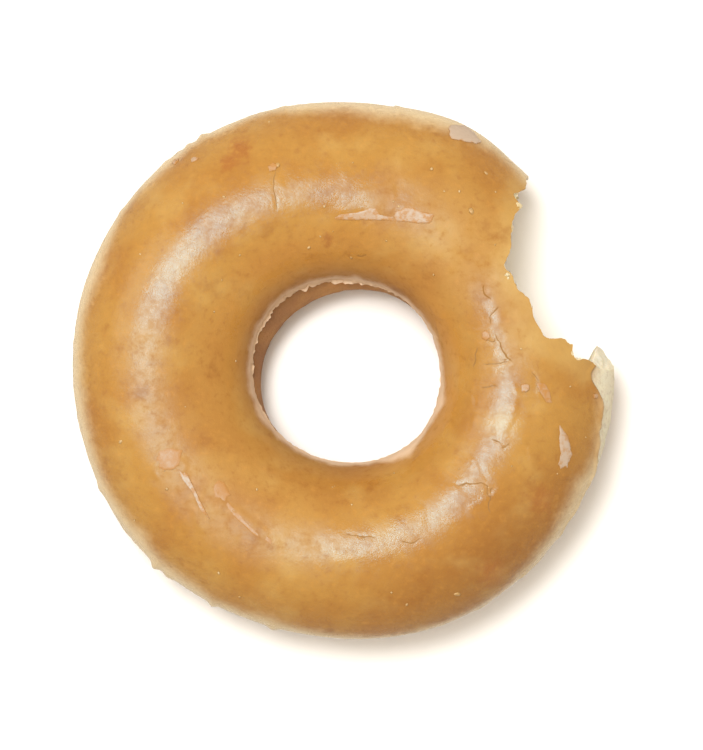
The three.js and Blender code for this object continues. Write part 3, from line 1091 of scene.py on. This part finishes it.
def on_skin(x, y):
    """Where points seen from above lie on the upper skin: turn from their bearing, and around from
    their radius, read off the section between its two neighbours."""
    radius, turn = polar(np.stack([x, y], axis=-1))
    around = np.linspace(SECTION_END, np.pi - SECTION_END, SECTION_STATIONS)
    reach, _ = polar(ring_skin(turn[..., None], around))
    after = np.clip(np.sum(reach > radius[..., None], axis=-1), 1, SECTION_STATIONS - 1)[..., None]
    outer = np.take_along_axis(reach, after - 1, axis=-1)[..., 0]
    inner = np.take_along_axis(reach, after, axis=-1)[..., 0]
    share = (outer - radius) / np.maximum(outer - inner, TINY)
    return turn, around[after[..., 0] - 1] + np.clip(share, 0, 1) * (around[1] - around[0])


def flake_rings(outline, thickness, seed):
    """A plate over an outline: rings from near its middle to the edge and back underneath, the edge
    chipped by noise, and lifted off the skin by the plate's thickness."""
    corners = np.array(outline)
    middle = corners.mean(axis=0)
    place = np.linspace(0, len(corners), FLAKE_STEPS, endpoint=False)
    closed = np.concatenate([corners, corners[:1]])
    edge = np.stack([np.interp(place, np.arange(len(closed)), closed[:, k]) for k in (0, 1)], axis=-1)
    flat = np.concatenate([edge, np.zeros((FLAKE_STEPS, 1))], axis=-1)
    chips = noise(flat, (0.09, 0.7, seed), (0.05, 0.3, seed))
    chipped = middle + (edge - middle) * (1 + chips)[:, None]
    rings = middle + (chipped - middle) * np.array(FLAKE_RINGS)[:, None, None]
    turn, around = on_skin(rings[..., 0], rings[..., 1])
    skin = ring_skin(turn, around)
    waver = 1 + noise(skin, (0.25, 0.9, seed + 1))
    lift = np.array(FLAKE_LIFTS)[:, None] * thickness * waver
    return skin + ring_outward(turn, around) * lift[..., None]


def lidded(name, rings):
    """One piece from many closed tubes: rings of points, with a flat face over the first and the last.
    rings runs over tubes, rings, points round a ring and x, y, z."""
    count, levels, steps = rings.shape[:3]
    j, i = np.meshgrid(np.arange(levels - 1), np.arange(steps), indexing="ij")
    after = (i + 1) % steps
    row, next_row = j * steps, (j + 1) * steps
    side = np.stack([row + i, next_row + i, next_row + after, row + after], axis=-1)
    first = np.arange(count)[:, None] * levels * steps
    sides = (first[:, :, None] + side.reshape(1, -1, 4)).reshape(-1, 4)
    near_lids = first + np.arange(steps)
    far_lids = first + (levels - 1) * steps + np.arange(steps)[::-1]
    return piece(name, rings, sides.tolist() + near_lids.tolist() + far_lids.tolist())


flake_shapes = [
    flake_rings(outline, thickness, FLAKE_SEED + 3 * k)
    for k, (_, thickness, outline) in enumerate(FLAKES)
]
flakes = lidded("glaze_flakes", np.stack(flake_shapes))
flake_milk_and_highlight = [milk_and_highlight for milk_and_highlight, _, _ in FLAKES]
# How clouded each flake is, on some also standing in for a painted highlight.
mark(flakes, "milk_and_highlight", np.repeat(np.outer(flake_milk_and_highlight, FLAKE_FADE).ravel(), FLAKE_STEPS))
round_off(flakes, 40)

MILKY_AND_HIGHLIGHT = (0.38, 0.28, 0.2)
CLEAR_FLAKE = (0.33, 0.15, 0.036)


def milky_glaze_and_highlights():
    """Dried sugar glaze: pinkish cream, clouded, glossy in places; on some flakes the pale cream is
    painted highlight.
    """
    finish = Finish("milky glaze and painted highlights", IOR=1.45, Specular_IOR_Level=0.35, Specular_Tint=(*GLINT, 1))
    cloud = finish.noise(0.9, 4, 0.65)
    milk_and_highlight = finish.attribute("milk_and_highlight") - finish.climb(cloud, 0.42, 0.7) * 0.6
    colour = finish.blend(finish.climb(milk_and_highlight, 0, 1), CLEAR_FLAKE, MILKY_AND_HIGHLIGHT)
    relief = finish.noise(0.4, 3, 0.6) * 0.04
    return finish.paint(colour, roughness=0.25 + cloud * 0.35, normal=finish.bump(relief, 0.6))


flakes.data.materials.append(milky_glaze_and_highlights())
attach(flakes, "root")

# ---------------------------------------------------------------------------------------------------
# Specks of sugar. Small grains and blisters of dried glaze, from a fifth of a millimetre to a little
# over one across, stuck to the film all round.
# ---------------------------------------------------------------------------------------------------

# Larger specks: place round the ring in degrees, distance from its middle, radius.
SPECKS = (
    (66.6, 35.5, 0.35),
    (54.3, 39.5, 0.3),
    (57.2, 34.4, 0.25),
    (51.3, 32.9, 0.45),
    (39.6, 31.7, 0.2),
    (22.1, 28.9, 0.35),
    (108.3, 34.9, 0.4),
    (106.6, 20.7, 0.3),
    (-63.5, 41.2, 0.45),
    (86.9, 18.3, 0.3),
    (198, 38.5, 0.3),
    (214, 35, 0.25),
)
SCATTERED = 46
SCATTERED_RADIUS = (0.1, 0.24)
SCATTERED_OVER = (18, 43)  # distances from the middle of the ring
CLEAR_OF_BITE = 2
SPECK_SQUASH = ((0.8, 0.7, 0.5), (1.4, 1.0, 0.7))  # least and most along three axes, over its radius
SPECK_PROUD = 0.05
SPECK_ROUGHNESS = 0.16
SPECK_RINGS = 5
SPECK_STEPS = 8
SPECK_CAP = 65  # how far up and down a lump its rings go, in degrees


def blobs(middles, axes, radii, seed, rough):
    """Rings of points for small lumps: a ball without its poles, each point moved in or out a little,
    stretched by the radii along three axes."""
    rng = np.random.default_rng(seed)
    up, about = np.meshgrid(
        np.radians(np.linspace(SPECK_CAP, -SPECK_CAP, SPECK_RINGS)),
        np.arange(SPECK_STEPS) / SPECK_STEPS * 2 * np.pi,
        indexing="ij",
    )
    ball = np.stack([np.cos(up) * np.cos(about), np.cos(up) * np.sin(about), np.sin(up)], axis=-1)
    swell = 1 + rough * rng.uniform(-1, 1, (len(middles), SPECK_RINGS, SPECK_STEPS, 1))
    local = ball * swell * radii[:, None, None, :]
    return middles[:, None, None, :] + np.einsum("nrsk,nkj->nrsj", local, axes)


def frames(outward, seed):
    """Three axes for each lump, the last one outward and the others turned at random about it."""
    rng = np.random.default_rng(seed)
    first = unit(np.cross(outward, unit(rng.normal(size=outward.shape))))
    return np.stack([first, np.cross(outward, first), outward], axis=1)


speck_rng = np.random.default_rng(301)
listed = np.array(SPECKS)
speck_turn = np.concatenate([np.radians(listed[:, 0]), speck_rng.uniform(0, 2 * np.pi, SCATTERED)])
speck_radius = np.concatenate([listed[:, 1], speck_rng.uniform(*SCATTERED_OVER, SCATTERED)])
speck_size = np.concatenate([listed[:, 2], speck_rng.uniform(*SCATTERED_RADIUS, SCATTERED)])
speck_x, speck_y = speck_radius * np.cos(speck_turn), speck_radius * np.sin(speck_turn)
speck_away, _ = polar(np.stack([speck_x, speck_y], axis=-1), BITE_MIDDLE)
kept = speck_away > BITE_RADIUS + CLEAR_OF_BITE
speck_turn, speck_around = on_skin(speck_x[kept], speck_y[kept])
speck_out = ring_outward(speck_turn, speck_around)
speck_radii = speck_size[kept, None] * speck_rng.uniform(*SPECK_SQUASH, (kept.sum(), 3))
speck_middles = ring_skin(speck_turn, speck_around) + speck_out * SPECK_PROUD
speck_rings = blobs(speck_middles, frames(speck_out, 302), speck_radii, 303, SPECK_ROUGHNESS)
specks = lidded("sugar_specks", speck_rings)
round_off(specks, 60)

SUGAR = (0.33, 0.19, 0.06)
SUGAR_WHITE = (0.42, 0.29, 0.14)


def dried_sugar():
    """Grains of dried glaze, from honey to almost white."""
    finish = Finish("dried sugar", IOR=1.5, Specular_IOR_Level=0.4)
    colour = finish.blend(finish.climb(finish.noise(2, 2), 0.4, 0.65), SUGAR, SUGAR_WHITE)
    return finish.paint(colour, roughness=0.3 + finish.noise(0.4, 2) * 0.3)


specks.data.materials.append(dried_sugar())
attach(specks, "root")

# ---------------------------------------------------------------------------------------------------
# Crumbs on the bite. Shreds of torn crumb, about half a millimetre to one millimetre long, that cling
# to the crust's broken edge and to the wall below it.
# ---------------------------------------------------------------------------------------------------

# Shreds on the crust's torn edge: place round the arch in degrees, and half their length.
EDGE_SHREDS = (
    (156.5, 0.6),
    (158, 0.4),
    (190.5, 0.6),
    (192, 0.4),
    (240, 0.45),
)
WALL_SHREDS = 44
WALL_SHRED_PLACES = (146, 250)  # round the arch, in degrees
WALL_SHRED_HEIGHTS = (2.5, 20)
WALL_SHRED_SIZES = (0.25, 0.6)
SHRED_SQUASH = ((0.6, 0.35, 0.7), (1.0, 0.6, 1.1))  # least and most along three axes, over its size
SHRED_SUNK = 0.1
SHRED_RISE = 0.3  # how far up the shreds point, for one millimetre out of the wall
SHRED_UNRULY = 0.5
SHRED_ROUGHNESS = 0.25
EDGE_LEVEL = 23  # a height at which the torn edge is worked out

shred_rng = np.random.default_rng(401)
edge_shreds = np.array(EDGE_SHREDS)
edge_degrees = edge_shreds[:, 0]
edge_points = bite_point(edge_degrees, EDGE_LEVEL, torn_edge(edge_degrees, EDGE_LEVEL))
edge_turn, edge_around = on_skin(edge_points[:, 0], edge_points[:, 1])
edge_middles = ring_skin(edge_turn, edge_around) - SHRED_SUNK * ring_outward(edge_turn, edge_around)
wall_degrees = shred_rng.uniform(*WALL_SHRED_PLACES, WALL_SHREDS)
wall_middles = crumb_wall(wall_degrees, shred_rng.uniform(*WALL_SHRED_HEIGHTS, WALL_SHREDS))
shred_bearing = np.radians(np.concatenate([edge_degrees, wall_degrees]))
shred_middles = np.concatenate([edge_middles, wall_middles])
shred_size = np.concatenate([edge_shreds[:, 1], shred_rng.uniform(*WALL_SHRED_SIZES, WALL_SHREDS)])
shred_rise = np.full(len(shred_size), SHRED_RISE)
shred_out = np.stack([-np.cos(shred_bearing), -np.sin(shred_bearing), shred_rise], axis=-1)
shred_out = unit(shred_out + SHRED_UNRULY * shred_rng.normal(size=shred_out.shape))
shred_frames = frames(shred_out, 402)
shred_radii = shred_size[:, None] * shred_rng.uniform(*SHRED_SQUASH, (len(shred_size), 3))
shred_rings = blobs(shred_middles, shred_frames, shred_radii, 403, SHRED_ROUGHNESS)
shreds = lidded("bite_crumbs", shred_rings)
round_off(shreds, 50)

CRUMB_LIGHT = (0.50, 0.42, 0.26)
CRUMB_DEEP = (0.42, 0.31, 0.15)


def loose_crumb():
    """Dry crumb of the dough: cream, here and there browner, quite matt."""
    finish = Finish("loose crumb", Specular_IOR_Level=0.2)
    colour = finish.blend(finish.climb(finish.noise(1.5, 3), 0.45, 0.7), CRUMB_LIGHT, CRUMB_DEEP)
    relief = finish.noise(0.25, 3, 0.6) * 0.05
    return finish.paint(colour, roughness=0.75 + finish.noise(0.5, 2) * 0.2, normal=finish.bump(relief))


shreds.data.materials.append(loose_crumb())
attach(shreds, "root")

# ---------------------------------------------------------------------------------------------------
# The floor, the light and the camera. A floor lit until it is plain white. A key light and a soft box
# from the upper left only shade, and two cards, one nearly overhead and a dim one lower on the left, only
# show in the glaze. Warm white all round, and the camera straight above with a long lens.
# ---------------------------------------------------------------------------------------------------

FLOOR_REACH = 1.5
FLOOR_WHITE = (0.78, 0.762, 0.735)

floor_mesh = bpy.data.meshes.new("floor")
floor_corners = [(x * FLOOR_REACH, y * FLOOR_REACH, 0) for x, y in ((-1, -1), (1, -1), (1, 1), (-1, 1))]
floor_mesh.from_pydata(floor_corners, [], [(0, 1, 2, 3)])
floor = bpy.data.objects.new("floor", floor_mesh)
bpy.context.scene.collection.objects.link(floor)
floor.visible_glossy = False
floor_finish = Finish("white floor", Roughness=0.8, Specular_IOR_Level=0.1)
floor_mesh.materials.append(floor_finish.paint((*FLOOR_WHITE, 1)))


def round_light(name, bearing, lean, width, radiance):
    """A round light a metre away facing the doughnut, from a bearing and a lean off the vertical in
    degrees. An area light's power is its radiance times pi times its area."""
    turn, down = math.radians(bearing), math.radians(lean)
    light = bpy.data.lights.new(name, "AREA")
    light.shape = "DISK"
    light.size = width
    light.energy = radiance * math.pi * math.pi * (width / 2) ** 2
    lamp = bpy.data.objects.new(name, light)
    lamp.location = (math.cos(turn) * math.sin(down), math.sin(turn) * math.sin(down), math.cos(down))
    lamp.rotation_mode = "QUATERNION"
    lamp.rotation_quaternion = lamp.location.to_track_quat("Z", "Y")
    bpy.context.scene.collection.objects.link(lamp)
    return lamp


round_light("gloss card", bearing=180, lean=10, width=0.5, radiance=23).visible_diffuse = False
round_light("side card", bearing=165, lean=42, width=0.55, radiance=3.5).visible_diffuse = False
round_light("soft box", bearing=145, lean=10, width=0.52, radiance=6.5).visible_glossy = False
round_light("key light", bearing=125, lean=18, width=0.38, radiance=26).visible_glossy = False

ROOM_WHITE = (1, 0.905, 0.77)
ROOM_STRENGTH = 0.85

world = bpy.data.worlds.new("white room")
world.use_nodes = True
room = world.node_tree.nodes["Background"]
room.inputs["Color"].default_value = (*ROOM_WHITE, 1)
room.inputs["Strength"].default_value = ROOM_STRENGTH
bpy.context.scene.world = world
bpy.context.scene.view_settings.view_transform = "Standard"

CAMERA_HEIGHT = 0.65
FRAME_HEIGHT = 0.125  # what the frame's long side takes in at the height of the doughnut's waist
CAMERA_OVER = (1.2, -0.75)  # the point below the camera, in millimetres
SENSOR = 36

camera_data = bpy.data.cameras.new("camera")
camera_data.sensor_width = SENSOR
camera_data.lens = SENSOR * CAMERA_HEIGHT / FRAME_HEIGHT
camera = bpy.data.objects.new("camera", camera_data)
camera.location = (CAMERA_OVER[0] * MM, CAMERA_OVER[1] * MM, CAMERA_HEIGHT + WAIST_HEIGHT * MM)
bpy.context.scene.collection.objects.link(camera)
bpy.context.scene.camera = camera
